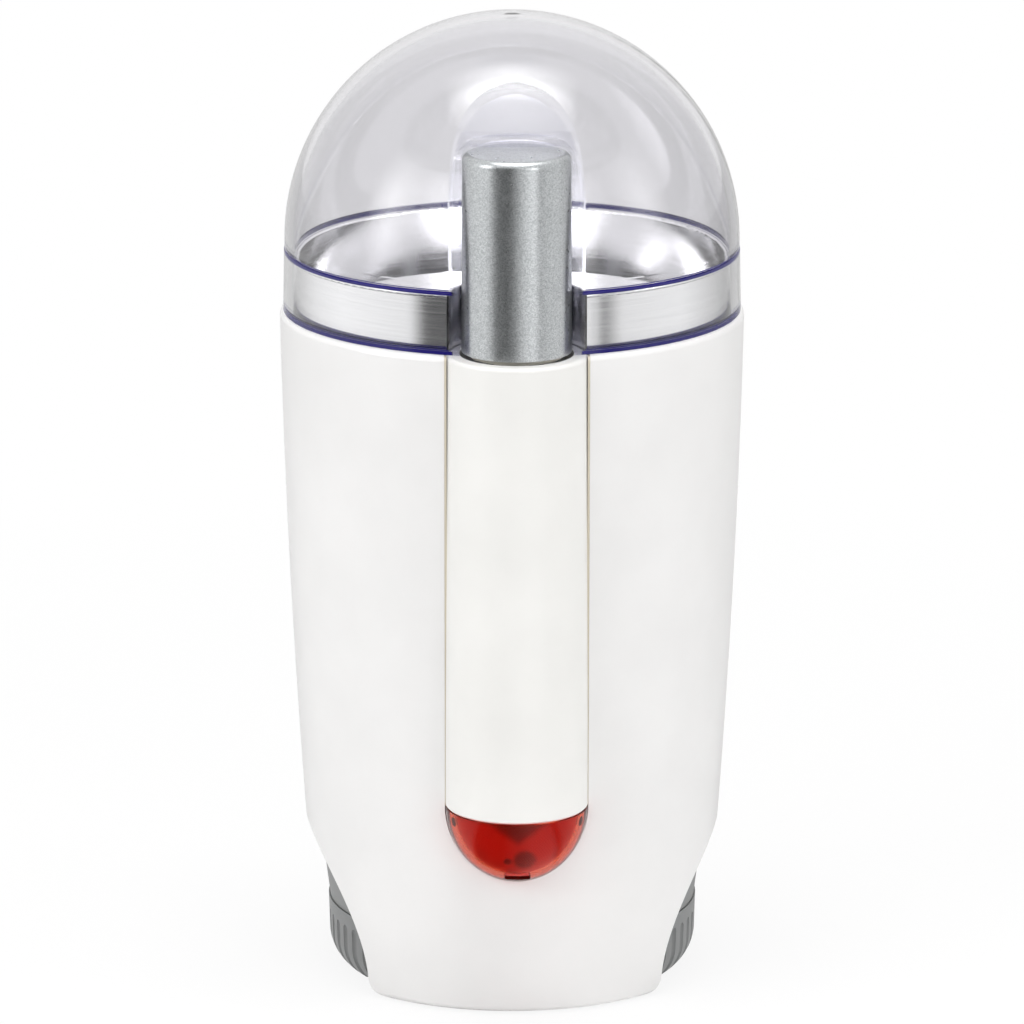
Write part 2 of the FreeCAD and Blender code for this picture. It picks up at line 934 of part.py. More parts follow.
def motor_bracket(disc, low, high, leg_low, leg_high, hub_low, hub_high):
    """A plate with four arms, a bearing seat and two legs that clamp the stator."""
    shapes = [cylinder(disc, low, high), cylinder(bearing_radius + bearing_housing, hub_low, hub_high)]
    shapes.append(block(-bracket_radius, bracket_radius, -bracket_leg, bracket_leg, low, high))
    shapes.append(block(-bracket_leg, bracket_leg, -bracket_radius, bracket_radius, low, high))
    for x, y in motor_screw_places():
        shapes.append(cylinder(bracket_leg, leg_low, leg_high, y, x))
    body = joined(shapes)
    cuts = [cylinder(bearing_radius, hub_low - cut_margin, hub_high + cut_margin)]
    for x, y in motor_screw_places():
        cuts.append(cylinder(screw_radius, leg_low - cut_margin, leg_high + cut_margin, y, x))
    return body.cut(cuts)


def upper_bracket():
    hub_low = upper_bracket_z - bearing_housing
    hub_high = hub_low + bearing_height
    disc = mount_circle + mount_radius
    body = motor_bracket(disc, upper_bracket_z, bracket_top, core_top, bracket_top, hub_low, hub_high)
    low = upper_bracket_z - cut_margin
    high = bracket_top + cut_margin
    return body.cut([cylinder(screw_radius, low, high, x, y) for x, y in mount_places()])


def lower_bracket():
    low = lower_bracket_z
    hub_low = low - bearing_housing
    hub_high = hub_low + bearing_height
    disc = base_boss_circle - post_radius - bracket_leg
    body = motor_bracket(disc, low, lower_bracket_top, low, core_bottom, hub_low, hub_high)
    post_low = brush_z() - brush_height / 2 - holder_wall
    posts = []
    wide = brush_width / 2
    near = bracket_radius / 2
    for side in (-1, 1):
        x_low, x_high = sorted((side * near, side * (bracket_radius - holder_wall)))
        posts.append(block(x_low, x_high, -wide, wide, lower_bracket_top - seam, post_low))
    return joined([body] + posts)


def bearing(bottom):
    return tube(bearing_radius, shaft_radius + running_gap, bottom, bottom + bearing_height)


def upper_bearing():
    return bearing(upper_bracket_z - bearing_housing)


def lower_bearing():
    return bearing(lower_bracket_z - bearing_housing)


def rubber_mounts():
    mounts = [tube(mount_radius, screw_radius, bracket_top, deck_bottom, x, y) for x, y in mount_places()]
    return Part.makeCompound(mounts)


def drive_shaft():
    return cylinder(shaft_radius, fan_top - fan_height, shaft_top())


def slotted(radius, bottom, top, slots, width, depth):
    """A laminated or segmented drum on the shaft."""
    drum = tube(radius, shaft_radius, bottom, top)
    half = width / 2
    groove = block(radius - depth, radius + cut_margin, -half, half, bottom - cut_margin, top + cut_margin)
    return drum.cut(around(groove, slots))


def rotor_core():
    return slotted(core_radius, core_bottom, core_top, core_slots, core_slot_width, core_slot_depth)


def armature_winding():
    """The two bunched ends of the winding, above and below the core."""
    outer = core_radius - core_slot_width
    inner = core_radius - core_slot_depth - core_slot_width
    ends = []
    for bottom in (core_bottom - winding_overhang, core_top):
        ring = tube(outer, inner, bottom, bottom + winding_overhang)
        ends.append(ring.makeFillet(core_slot_width, [edge for edge in ring.Edges if edge.Closed]))
    return Part.makeCompound(ends)


def commutator():
    top = core_bottom - winding_overhang - commutator_gap
    bottom = top - commutator_height
    return slotted(commutator_radius, bottom, top, core_slots * 2, commutator_slot, commutator_slot * 3)


def brush_z():
    return core_bottom - winding_overhang - commutator_gap - commutator_height / 2


def cooling_fan():
    bottom = fan_top - fan_height
    hub = cylinder(fan_hub, bottom, fan_top)
    disc = cylinder(fan_radius, fan_top - fan_blade, fan_top)
    vane = block(fan_hub - cut_margin, fan_radius, -fan_blade / 2, fan_blade / 2, bottom, fan_top)
    vane = vane.common(cylinder(fan_radius, bottom, fan_top))
    body = joined([hub, disc] + around(vane, fan_blades))
    return body.cut(cylinder(shaft_radius, bottom - cut_margin, fan_top + cut_margin))


def wedge(radius, half_deg, bottom, top):
    """A sector about the +X axis."""
    corner = at_angle(radius, half_deg)
    centre = V(0, 0, bottom)
    start = V(corner[0], -corner[1], bottom)
    end = V(corner[0], corner[1], bottom)
    arc = Part.Arc(start, V(radius, 0, bottom), end).toShape()
    wire = Part.Wire([Part.makeLine(centre, start), arc, Part.makeLine(end, centre)])
    return Part.Face(wire).extrude(V(0, 0, top - bottom))


def shoe_bore():
    return core_radius + air_gap


def stator_core():
    """A laminated ring with two poles."""
    yoke = tube(stator_radius, stator_radius - stator_yoke, core_bottom, core_top)
    shapes = [yoke]
    shoe = wedge(shoe_bore() + shoe_thickness, shoe_half_deg, core_bottom, core_top)
    neck = block(0, stator_radius - stator_yoke / 2, -pole_width / 2, pole_width / 2, core_bottom, core_top)
    pole = joined([shoe, neck])
    shapes += around(pole, 2)
    body = joined(shapes)
    cuts = [cylinder(shoe_bore(), core_bottom - cut_margin, core_top + cut_margin)]
    for x, y in motor_screw_places():
        cuts.append(cylinder(screw_radius, core_bottom - cut_margin, core_top + cut_margin, y, x))
    return body.cut(cuts)


def field_coils():
    """Two coils, each wound round the neck of a pole."""
    inner = shoe_bore() + shoe_thickness + seat_gap
    outer = stator_radius - stator_yoke - seat_gap
    gap = pole_width / 2 + seat_gap
    wide = gap + coil_width
    low = core_bottom - coil_overhang
    high = core_top + coil_overhang
    ring = tube(outer, inner, low, high)
    body = block(0, outer, -wide, wide, low, high)
    core = block(0, outer + cut_margin, -gap, gap, core_bottom - seat_gap, core_top + seat_gap)
    coil = ring.common(body).cut(core)
    return Part.makeCompound(around(coil, 2))


def along_x(radius, start, length, z):
    return Part.makeCylinder(radius, length, V(start, 0, z), V(1, 0, 0))


def carbon_brushes():
    z = brush_z()
    start = commutator_radius + brush_gap
    wide = brush_width / 2
    tall = brush_height / 2
    body = block(0, start + brush_length, -wide, wide, z - tall, z + tall)
    body = body.cut(cylinder(start, z - brush_height, z + brush_height))
    return Part.makeCompound(around(body, 2))


def tube_start():
    return commutator_radius + brush_gap + brush_width / 2


def brush_holders():
    """Two square tubes that guide the brushes, closed at their outer ends."""
    z = brush_z()
    start = tube_start()
    end = start + brush_tube_length
    wide = brush_width / 2 + running_gap
    tall = brush_height / 2 + running_gap
    side = wide + holder_wall
    outer = block(start, end, -side, side, z - brush_height / 2 - holder_wall, z + tall + holder_wall)
    bore = block(start - cut_margin, end - holder_wall, -wide, wide, z - tall, z + tall)
    return Part.makeCompound(around(outer.cut(bore), 2))


def brush_springs():
    start = commutator_radius + brush_gap + brush_length
    length = tube_start() + brush_tube_length - holder_wall - start
    radius = (brush_width - brush_spring_wire) / 2 - slide_gap
    spring = coil_spring(radius, brush_spring_wire, length, brush_spring_turns)
    spring.rotate(ORIGIN, V(0, 1, 0), 90)
    spring.translate(V(start, 0, brush_z()))
    return Part.makeCompound(around(spring, 2))


# Base

def base_collar():
    """A plain band inside the housing that closes the arches, with a lip inside the fluted ring."""
    top_radius = side_radius(collar_top_z) - housing_wall - slide_gap
    shelf_z = collar_bottom_z + collar_wall
    lip_z = collar_bottom_z - collar_lip
    lip_outer = ring_inner - seat_gap
    lip_inner = lip_outer - collar_lip_wall
    band = spun([
        (collar_bottom_radius, collar_bottom_z),
        (top_radius, collar_top_z),
        (top_radius - collar_wall, collar_top_z),
        (collar_bottom_radius - collar_wall, shelf_z),
        (lip_inner, shelf_z),
        (lip_inner, lip_z),
        (lip_outer, lip_z),
        (lip_outer, collar_bottom_z),
    ])
    return band.cut([inlet_hole(), column_slot()])


def inlet_hole():
    return Part.makeCylinder(gland_radius, shoulder_radius, V(0, 0, gland_z), V(0, 1, 0))


def flute_cutter():
    """A round-ended groove that follows the ring's side and its rounded foot."""
    path = ring_radius + flute_radius - flute_depth
    straight_top = flute_top_z - flute_radius
    run = cylinder(flute_radius, ring_round_z, straight_top, path, 0)
    end = Part.makeSphere(flute_radius, V(path, 0, straight_top))
    circle = Part.Wire(Part.Circle(V(path, 0, ring_round_z), UP, flute_radius).toShape())
    turn_centre = V(ring_radius - ring_round, 0, ring_round_z)
    foot = Part.Face(circle).revolve(turn_centre, V(0, 1, 0), flute_sweep_deg)
    return joined([run, end, foot])


def base_ring():
    """The fluted ring, with a ledge inside that the base plate closes."""
    top = collar_bottom_z - collar_seam
    centre = (ring_radius - ring_round, ring_round_z)
    drop = ring_round_z - foot_drop
    toe_deg = -math.degrees(math.asin(drop / ring_round))
    foot = centre[0] + ring_round * math.cos(math.radians(toe_deg))
    plate_hole = plate_radius + seat_gap
    ledge_z = plate_top + seat_gap
    steps = [
        (plate_hole, foot_drop),
        (foot, foot_drop),
        round_corner(centre, ring_round, toe_deg, 0),
        (ring_top_radius, top),
        (ring_inner, top),
        (ring_inner, ledge_z + ring_ledge),
        (plate_radius - ring_ledge_reach, ledge_z + ring_ledge),
        (plate_radius - ring_ledge_reach, ledge_z),
        (plate_hole, ledge_z),
    ]
    ring = spun(steps).cut(inlet_hole())
    return ring.cut(around(flute_cutter(), flute_count))


def base_plate():
    """The bottom closure, with screw posts, air slots and a groove for the foot ring."""
    plate = cylinder(plate_radius, foot_drop, plate_top)
    posts = []
    cuts = []
    for degrees in corner_angles:
        x, y = at_angle(base_boss_circle, degrees)
        posts.append(cylinder(post_radius, plate_top - seam, base_boss_z, x, y))
        cuts.append(cylinder(screw_radius, foot_drop, base_boss_z + cut_margin, x, y))
        cuts.append(cylinder(head_radius, foot_drop - cut_margin, foot_drop + head_height, x, y))
    slot = block(vent_inner, vent_outer, -vent_width / 2, vent_width / 2, -cut_margin, plate_top + cut_margin)
    cuts += around(slot, vent_count)
    groove = tube(foot_outer, foot_inner, foot_drop - cut_margin, foot_height)
    return joined([plate] + posts).cut(cuts + [groove])


def foot_ring():
    return tube(foot_outer, foot_inner, 0.0, foot_height)


def cord_gland():
    """The inlet's bushing: a sleeve with a flange on the outside."""
    back = side_radius(gland_z + gland_flange) + seat_gap + gland_flange_thickness
    front = back - gland_length
    way = V(0, 1, 0)
    sleeve = Part.makeCylinder(gland_radius, gland_length, V(0, front, gland_z), way)
    flange = Part.makeCylinder(
        gland_flange, gland_flange_thickness, V(0, back - gland_flange_thickness, gland_z), way
    )
    bore_length = gland_length + 2 * cut_margin
    bore = Part.makeCylinder(gland_bore, bore_length, V(0, front - cut_margin, gland_z), way)
    return joined([sleeve, flange]).cut(bore)


def terminal_block():
    wide, deep, tall = terminal_size
    front = ring_inner - terminal_inset - deep
    top = plate_top + tall
    body = block(-wide / 2, wide / 2, front, front + deep, plate_top, top)
    floor = top - terminal_screw_recess
    middle = front + deep / 2
    wells = []
    for side in (-1, 1):
        wells.append(cylinder(terminal_screw_radius, floor, top + cut_margin, side * wide / 4, middle))
    return body.cut(wells)


def suppression_capacitor():
    wide, deep, tall = capacitor_size
    low = capacitor_y - deep / 2
    return block(-wide / 2, wide / 2, low, low + deep, plate_top, plate_top + tall)


nodes = {
    "housing": housing,
    "front_column": front_column,
    "indicator_lens": indicator_lens,
    "lens_studs": lens_studs,
    "indicator_lamp": indicator_lamp,
    "lamp_holder": lamp_holder,
    "push_button": push_button,
    "button_stem": button_stem,
    "button_spring": button_spring,
    "switch_body": switch_body,
    "switch_plunger": switch_plunger,
    "lid_dome": lid_dome,
    "grinding_bowl": grinding_bowl,
    "bowl_gasket": bowl_gasket,
    "shaft_seal": shaft_seal,
    "blade": blade,
    "blade_spacer": blade_spacer,
    "blade_nut": blade_nut,
    "chassis": chassis,
    "chassis_screws": chassis_screws,
    "drive_shaft": drive_shaft,
    "rotor_core": rotor_core,
    "armature_winding": armature_winding,
    "commutator": commutator,
    "cooling_fan": cooling_fan,
    "stator_core": stator_core,
    "field_coils": field_coils,
    "brush_holders": brush_holders,
    "carbon_brushes": carbon_brushes,
    "brush_springs": brush_springs,
    "upper_bracket": upper_bracket,
    "lower_bracket": lower_bracket,
    "upper_bearing": upper_bearing,
    "lower_bearing": lower_bearing,
    "rubber_mounts": rubber_mounts,
    "mount_screws": mount_screws,
    "motor_screws": motor_screws,
    "base_collar": base_collar,
    "base_ring": base_ring,
    "base_plate": base_plate,
    "base_screws": base_screws,
    "foot_ring": foot_ring,
    "cord_gland": cord_gland,
    "terminal_block": terminal_block,
    "suppression_capacitor": suppression_capacitor,
}

os.makedirs("parts", exist_ok=True)
for name, make in nodes.items():
    shape = make()
    shape.exportStep(os.path.join("parts", name + ".step"))
    box = shape.BoundBox
    print(
        f"{name}: {len(shape.Solids)} solids, valid {shape.isValid()}, volume {shape.Volume:.0f},"
        f" x {box.XMin:.1f}..{box.XMax:.1f} y {box.YMin:.1f}..{box.YMax:.1f} z {box.ZMin:.2f}..{box.ZMax:.2f}"
    )
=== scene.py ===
import json
import math

import bpy
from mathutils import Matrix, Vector


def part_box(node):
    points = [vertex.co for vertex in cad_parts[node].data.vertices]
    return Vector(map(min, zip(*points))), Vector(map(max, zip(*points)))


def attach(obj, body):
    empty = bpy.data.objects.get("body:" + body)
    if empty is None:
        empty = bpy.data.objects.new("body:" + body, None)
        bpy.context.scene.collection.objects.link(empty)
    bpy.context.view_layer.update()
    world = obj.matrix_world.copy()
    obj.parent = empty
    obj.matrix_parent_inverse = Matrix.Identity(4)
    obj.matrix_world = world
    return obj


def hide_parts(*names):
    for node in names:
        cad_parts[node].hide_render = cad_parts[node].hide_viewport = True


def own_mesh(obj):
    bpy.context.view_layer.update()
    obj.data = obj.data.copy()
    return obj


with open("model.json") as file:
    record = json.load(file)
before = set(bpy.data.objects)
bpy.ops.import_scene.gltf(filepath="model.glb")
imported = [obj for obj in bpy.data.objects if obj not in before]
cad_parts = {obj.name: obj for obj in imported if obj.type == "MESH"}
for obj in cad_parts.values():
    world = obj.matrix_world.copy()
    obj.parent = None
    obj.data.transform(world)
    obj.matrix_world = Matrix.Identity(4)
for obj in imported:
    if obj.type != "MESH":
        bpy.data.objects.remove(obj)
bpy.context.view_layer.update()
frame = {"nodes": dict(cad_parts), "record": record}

MM = 0.001
FULL_TURN_DEG = 360.0

# Most of a noise lies between these
NOISE_LOW = 0.3
NOISE_HIGH = 0.7

# Camera
CAMERA_TARGET_Z = 93.1 * MM
CAMERA_DISTANCE = 1.407
CAMERA_ELEVATION = math.radians(14.2)
CAMERA_AZIMUTH = math.radians(-1.3)
FOCAL_PIXELS = 7000.0
PHOTO_PIXELS = 1024.0
SENSOR_MM = 36.0

# Stage
LAMP_DISTANCE = 1.2
LAMP_FULL = 0.05
FLOOR_RADIUS = 4.0
FLOOR_SIDES = 64
FLOOR_GLOW = 0.88
SHADOW_REACH = 0.12
WHITE_REACH = 0.4

# Lamps: azimuth and elevation in degrees, width and height in metres, watts, and whether gloss sees it
LAMPS = (
    ("left_softbox", -68.0, 20.0, 0.6, 1.1, 8.0, True),
    ("right_softbox", 74.0, 20.0, 0.7, 1.1, 11.0, False),
    ("left_key", -46.0, 28.0, 0.8, 0.8, 8.5, False),
    ("right_key", 34.0, 10.0, 0.36, 0.8, 4.0, True),
    ("top_softbox", 0.0, 86.0, 1.1, 1.1, 34.0, True),
)

# Light on dull surfaces: the same from everywhere, and more from the front
AMBIENT = 0.38
AMBIENT_FRONT = 0.2

# White boards and dark gaps that gloss and metal see: azimuth from the front in degrees, and tone
REFLECTED_TONES = (
    (-180, 0.9), (-147, 0.6), (-120, 0.9), (-98, 1.0), (-70, 0.9), (-54, 0.85), (-46, 0.12), (-14, 0.05),
    (2, 0.5), (14, 1.0), (38, 1.0), (46, 0.25), (56, 0.8), (75, 0.85), (95, 0.9), (140, 0.5), (180, 0.9),
)
SKY_TONE = 0.9
SKY_LOW = 0.25
SKY_HIGH = 0.6

# Lens
LENS_WALL = 1.6 * MM
LENS_LINER_GAP = 0.12 * MM
LENS_RIB_PITCH = 0.7 * MM
LENS_RIB_FULL = 0.12
LENS_RIB_END = 0.28
LENS_LINER_ROWS = 30
LENS_TAB_HALF = 2.5 * MM
LENS_TAB_LOW = 1.7 * MM
LENS_TAB_HIGH = 3.9 * MM

# Dark patches behind the lens: a wedge under its top edge, and spots by x, depth and radius
WEDGE_HALF_WIDTH = 6.3 * MM
WEDGE_DEPTH = 4.6 * MM
WEDGE_FULL = 0.55
WEDGE_END = 1.15
PATCH_DARKNESS = 0.8
SPOTS = (
    (1.3 * MM, 8.0 * MM, 2.2 * MM),
    (-1.9 * MM, 8.3 * MM, 0.8 * MM),
)
SPOT_DARKNESS = 0.75
PATCH_SHARE = 0.7

# How dark the hatch is where the lens is clear, and over the patches
HATCH_CLEAR = 0.36
HATCH_PATCH = 0.9

# Lid
LID_EDGE_HALF = 0.36 * MM
LID_FADE = 1.0 * MM
POCKET_REACH = 2.2 * MM
POCKET_FADE = 0.3 * MM
POCKET_SHARE = 0.85
# How far past the button's edge the bowl's steel gets painted light
NOTCH_PAINTED_LIGHT_REACH = 1.4 * MM

# Gaps beside the column, and the sheets of painted light in them
SEAM_WIDTH = 0.15 * MM
SEAM_DEPTH = 0.08 * MM
SEAM_PLAY = 0.01 * MM
SEAM_OVERLAP = 0.3 * MM


# Node helpers

def new_material(name):
    """A material with one Principled shader and its output."""
    made = bpy.data.materials.new(name)
    made.use_nodes = True
    tree = made.node_tree
    shader = tree.nodes["Principled BSDF"]
    return made, tree, shader


def add(tree, kind, **values):
    """A node with its settings and its sockets' values, by name."""
    node = tree.nodes.new(kind)
    for name, value in values.items():
        if hasattr(node, name):
            setattr(node, name, value)
        else:
            node.inputs[name].default_value = value
    return node


def math_node(tree, operation, first, second=None, clamp=False):
    """One step of arithmetic on sockets or numbers."""
    node = tree.nodes.new("ShaderNodeMath")
    node.operation = operation
    node.use_clamp = clamp
    for socket, value in zip(node.inputs, (first, second)):
        if value is None:
            continue
        if isinstance(value, (int, float)):
            socket.default_value = value
        else:
            tree.links.new(value, socket)
    return node.outputs[0]


def position(tree):
    return tree.nodes.new("ShaderNodeTexCoord").outputs["Object"]


def split(tree, vector):
    node = tree.nodes.new("ShaderNodeSeparateXYZ")
    tree.links.new(vector, node.inputs[0])
    return node.outputs[0], node.outputs[1], node.outputs[2]


def noise(tree, scale, detail=2.0, vector=None, roughness=0.5):
    node = tree.nodes.new("ShaderNodeTexNoise")
    node.inputs["Scale"].default_value = scale
    node.inputs["Detail"].default_value = detail
    node.inputs["Roughness"].default_value = roughness
    tree.links.new(vector if vector is not None else position(tree), node.inputs["Vector"])
    return node.outputs[0]


def remap(tree, value, low, high, new_low, new_high):
    node = tree.nodes.new("ShaderNodeMapRange")
    tree.links.new(value, node.inputs["Value"])
    for name, number in (("From Min", low), ("From Max", high), ("To Min", new_low), ("To Max", new_high)):
        node.inputs[name].default_value = number
    return node.outputs["Result"]


def from_noise(tree, value, low=0.0, high=1.0):
    """A noise's usual span, spread from low to high."""
    return remap(tree, value, NOISE_LOW, NOISE_HIGH, low, high)


def mix_colour(tree, share, first, second):
    node = tree.nodes.new("ShaderNodeMix")
    node.data_type = "RGBA"
    sockets = [s for s in node.inputs if s.type == "RGBA"]
    if isinstance(share, (int, float)):
        node.inputs[0].default_value = share
    else:
        tree.links.new(share, node.inputs[0])
    for socket, value in zip(sockets, (first, second)):
        if isinstance(value, tuple):
            socket.default_value = value + (1.0,)
        else:
            tree.links.new(value, socket)
    return [s for s in node.outputs if s.type == "RGBA"][0]


def bump(tree, shader, height, depth, strength=1.0):
    node = tree.nodes.new("ShaderNodeBump")
    node.inputs["Strength"].default_value = strength
    node.inputs["Distance"].default_value = depth
    tree.links.new(height, node.inputs["Height"])
    tree.links.new(node.outputs[0], shader.inputs["Normal"])


def hypotenuse(tree, first, second):
    """The distance that two sides at a right angle span."""
    squares = [math_node(tree, "MULTIPLY", side, side) for side in (first, second)]
    return math_node(tree, "SQRT", math_node(tree, "ADD", squares[0], squares[1]))


def turned_grain(tree, across, along):
    """Coordinates that run fine across a turned surface and long along it."""
    x, y, z = split(tree, position(tree))
    radius = hypotenuse(tree, x, y)
    angle = math_node(tree, "ARCTAN2", y, x)
    join = tree.nodes.new("ShaderNodeCombineXYZ")
    tree.links.new(math_node(tree, "MULTIPLY", radius, across), join.inputs[0])
    tree.links.new(math_node(tree, "MULTIPLY", z, across), join.inputs[1])
    tree.links.new(math_node(tree, "MULTIPLY", angle, along), join.inputs[2])
    return join.outputs[0]


# Materials

def plastic(name, colour, roughness, grain=2400.0, depth=0.02 * MM, cloud=0.03, dim=0.94):
    """Moulded plastic: a fine grain, and faint clouds in colour and gloss."""
    made, tree, shader = new_material(name)
    clouds = noise(tree, 38.0, 3.0)
    share = from_noise(tree, clouds)
    darker = tuple(channel * dim for channel in colour)
    tree.links.new(mix_colour(tree, share, darker, colour), shader.inputs["Base Color"])
    gloss = from_noise(tree, clouds, roughness - cloud, roughness + cloud)
    tree.links.new(gloss, shader.inputs["Roughness"])
    bump(tree, shader, noise(tree, grain, 2.0), depth, 0.25)
    return made


def metallic_paint():
    """Silver paint: flakes that catch the light at different angles, under a clear coat."""
    made, tree, shader = new_material("silver_paint")
    flakes = tree.nodes.new("ShaderNodeTexVoronoi")
    flakes.inputs["Scale"].default_value = 5200.0
    tree.links.new(position(tree), flakes.inputs["Vector"])
    tone, _, _ = split(tree, flakes.outputs["Color"])
    colour = mix_colour(tree, tone, (0.4, 0.42, 0.43), (0.66, 0.68, 0.69))
    tree.links.new(colour, shader.inputs["Base Color"])
    shader.inputs["Metallic"].default_value = 0.92
    tree.links.new(from_noise(tree, noise(tree, 900.0), 0.27, 0.34), shader.inputs["Roughness"])
    shader.inputs["Coat Weight"].default_value = 0.25
    shader.inputs["Coat Roughness"].default_value = 0.15
    bump(tree, shader, tone, 0.006 * MM, 0.4)
    return made


def bowl_metal(name, colour, roughness, button_y, painted_light_end):
    """Steel with the faint, fine rings of a spun finish. Behind the button, in the shaded cut-out, it has
    painted light: a pale, nearly non-metallic colour standing in for light that comes through the lid.
    """
    made, tree, shader = new_material(name)
    lines = noise(tree, 1.0, 4.0, turned_grain(tree, 2600.0, 2.0))
    share = from_noise(tree, lines)
    darker = tuple(channel * 0.95 for channel in colour)
    x, y, _ = split(tree, position(tree))
    reach = hypotenuse(tree, x, math_node(tree, "SUBTRACT", y, button_y))
    # Painted light: behind the button the steel turns pale and nearly non-metallic, standing in for light
    # that comes through the lid into that shaded cut-out.
    notch_painted_light = remap(tree, reach, painted_light_end, painted_light_end + POCKET_FADE, 1.0, 0.0)
    spun = mix_colour(tree, share, darker, colour)
    tree.links.new(mix_colour(tree, notch_painted_light, spun, (0.9, 0.91, 0.93)), shader.inputs["Base Color"])
    tree.links.new(remap(tree, notch_painted_light, 0.0, 1.0, 1.0, 0.2), shader.inputs["Metallic"])
    gloss = from_noise(tree, lines, roughness - 0.03, roughness + 0.05)
    tree.links.new(gloss, shader.inputs["Roughness"])
    bump(tree, shader, lines, 0.004 * MM, 0.15)
    return made


def ground_metal(name, colour, roughness):
    """Metal with an even, slightly cloudy finish."""
    made, tree, shader = new_material(name)
    clouds = noise(tree, 420.0, 3.0)
    share = from_noise(tree, clouds)
    darker = tuple(channel * 0.8 for channel in colour)
    tree.links.new(mix_colour(tree, share, darker, colour), shader.inputs["Base Color"])
    shader.inputs["Metallic"].default_value = 1.0
    gloss = from_noise(tree, clouds, roughness - 0.05, roughness + 0.07)
    tree.links.new(gloss, shader.inputs["Roughness"])
    bump(tree, shader, noise(tree, 3000.0), 0.01 * MM, 0.3)
    return made


def rubber(name, colour):
    made, tree, shader = new_material(name)
    clouds = noise(tree, 160.0, 3.0)
    share = from_noise(tree, clouds)
    lighter = tuple(channel * 1.35 for channel in colour)
    tree.links.new(mix_colour(tree, share, colour, lighter), shader.inputs["Base Color"])
    tree.links.new(from_noise(tree, clouds, 0.62, 0.8), shader.inputs["Roughness"])
    bump(tree, shader, noise(tree, 1800.0, 4.0), 0.03 * MM, 0.4)
    return made


def wound_wire(name, colour):
    """Lacquered wire, wound in fine parallel turns."""
    made, tree, shader = new_material(name)
    wave = tree.nodes.new("ShaderNodeTexWave")
    wave.bands_direction = "Z"
    wave.inputs["Scale"].default_value = 520.0
    wave.inputs["Distortion"].default_value = 1.2
    tree.links.new(position(tree), wave.inputs["Vector"])
    share = remap(tree, wave.outputs["Fac"], 0.0, 1.0, 0.0, 1.0)
    darker = tuple(channel * 0.35 for channel in colour)
    tree.links.new(mix_colour(tree, share, darker, colour), shader.inputs["Base Color"])
    shader.inputs["Metallic"].default_value = 0.8
    shader.inputs["Roughness"].default_value = 0.35
    bump(tree, shader, wave.outputs["Fac"], 0.12 * MM, 0.7)
    return made


def stacked_sheets(name, colour):
    """Steel sheets stacked along the shaft."""
    made, tree, shader = new_material(name)
    wave = tree.nodes.new("ShaderNodeTexWave")
    wave.bands_direction = "Z"
    wave.inputs["Scale"].default_value = 320.0
    wave.inputs["Distortion"].default_value = 0.2
    tree.links.new(position(tree), wave.inputs["Vector"])
    share = remap(tree, wave.outputs["Fac"], 0.2, 0.6, 0.0, 1.0)
    darker = tuple(channel * 0.4 for channel in colour)
    tree.links.new(mix_colour(tree, share, darker, colour), shader.inputs["Base Color"])
    shader.inputs["Metallic"].default_value = 0.7
    shader.inputs["Roughness"].default_value = 0.5
    bump(tree, shader, wave.outputs["Fac"], 0.05 * MM, 0.6)
    return made


def passes_lamps(tree, shader, colour):
    """Lets the lamps' light through a clear shader, so that what is behind it is lit."""
    path = tree.nodes.new("ShaderNodeLightPath")
    shadow = math_node(tree, "MAXIMUM", path.outputs["Is Shadow Ray"], path.outputs["Is Diffuse Ray"])
    return see_through(tree, shader, shadow, colour)


def see_through(tree, shader, share, colour):
    """A shader of which a share is plainly transparent; it goes to the material's output."""
    clear = add(tree, "ShaderNodeBsdfTransparent", Color=colour + (1.0,))
    both = tree.nodes.new("ShaderNodeMixShader")
    tree.links.new(share, both.inputs[0])
    tree.links.new(shader, both.inputs[1])
    tree.links.new(clear.outputs[0], both.inputs[2])
    tree.links.new(both.outputs[0], tree.nodes["Material Output"].inputs["Surface"])
    return both.outputs[0]


def near(tree, value, centre, half):
    """One where a value is within half of a centre, and falls to nought just past it."""
    off = math_node(tree, "ABSOLUTE", math_node(tree, "SUBTRACT", value, centre))
    return remap(tree, off, half, half * 1.2, 1.0, 0.0)


def clear_lid(low_edge, ledge, button_y, button_radius):
    """Clear plastic: a grey dome, a clearer skirt, violet edges and a faint pocket round the button."""
    made, tree, shader = new_material("lid_clear")
    x, y, z = split(tree, position(tree))
    low_line = near(tree, z, low_edge + LID_EDGE_HALF, LID_EDGE_HALF)
    edge = math_node(tree, "MAXIMUM", low_line, near(tree, z, ledge, LID_EDGE_HALF))
    skirt = remap(tree, z, ledge - LID_FADE, ledge, 1.0, 0.0)
    body = mix_colour(tree, skirt, (0.865, 0.86, 0.88), (0.985, 0.985, 0.99))
    tree.links.new(mix_colour(tree, edge, body, (0.016, 0.012, 0.15)), shader.inputs["Base Color"])
    tree.links.new(remap(tree, edge, 0.0, 1.0, 1.0, 0.2), shader.inputs["Transmission Weight"])
    shader.inputs["IOR"].default_value = 1.47
    tree.links.new(from_noise(tree, noise(tree, 60.0), 0.015, 0.03), shader.inputs["Roughness"])
    lit = passes_lamps(tree, shader.outputs[0], (0.88, 0.88, 0.9))
    reach = hypotenuse(tree, x, math_node(tree, "SUBTRACT", y, button_y))
    pocket_end = button_radius + POCKET_REACH
    share = remap(tree, reach, pocket_end, pocket_end + POCKET_FADE, POCKET_SHARE, 0.0)
    see_through(tree, lit, share, (0.95, 0.95, 0.975))
    return made


def red_lens():
    made, tree, shader = new_material("lens_red")
    clouds = noise(tree, 120.0)
    share = from_noise(tree, clouds)
    tint = mix_colour(tree, share, (0.82, 0.12, 0.06), (0.87, 0.14, 0.07))
    tree.links.new(tint, shader.inputs["Base Color"])
    shader.inputs["Transmission Weight"].default_value = 0.97
    shader.inputs["IOR"].default_value = 1.28
    shader.inputs["Roughness"].default_value = 0.015
    passes_lamps(tree, shader.outputs[0], (0.9, 0.2, 0.12))
    return made


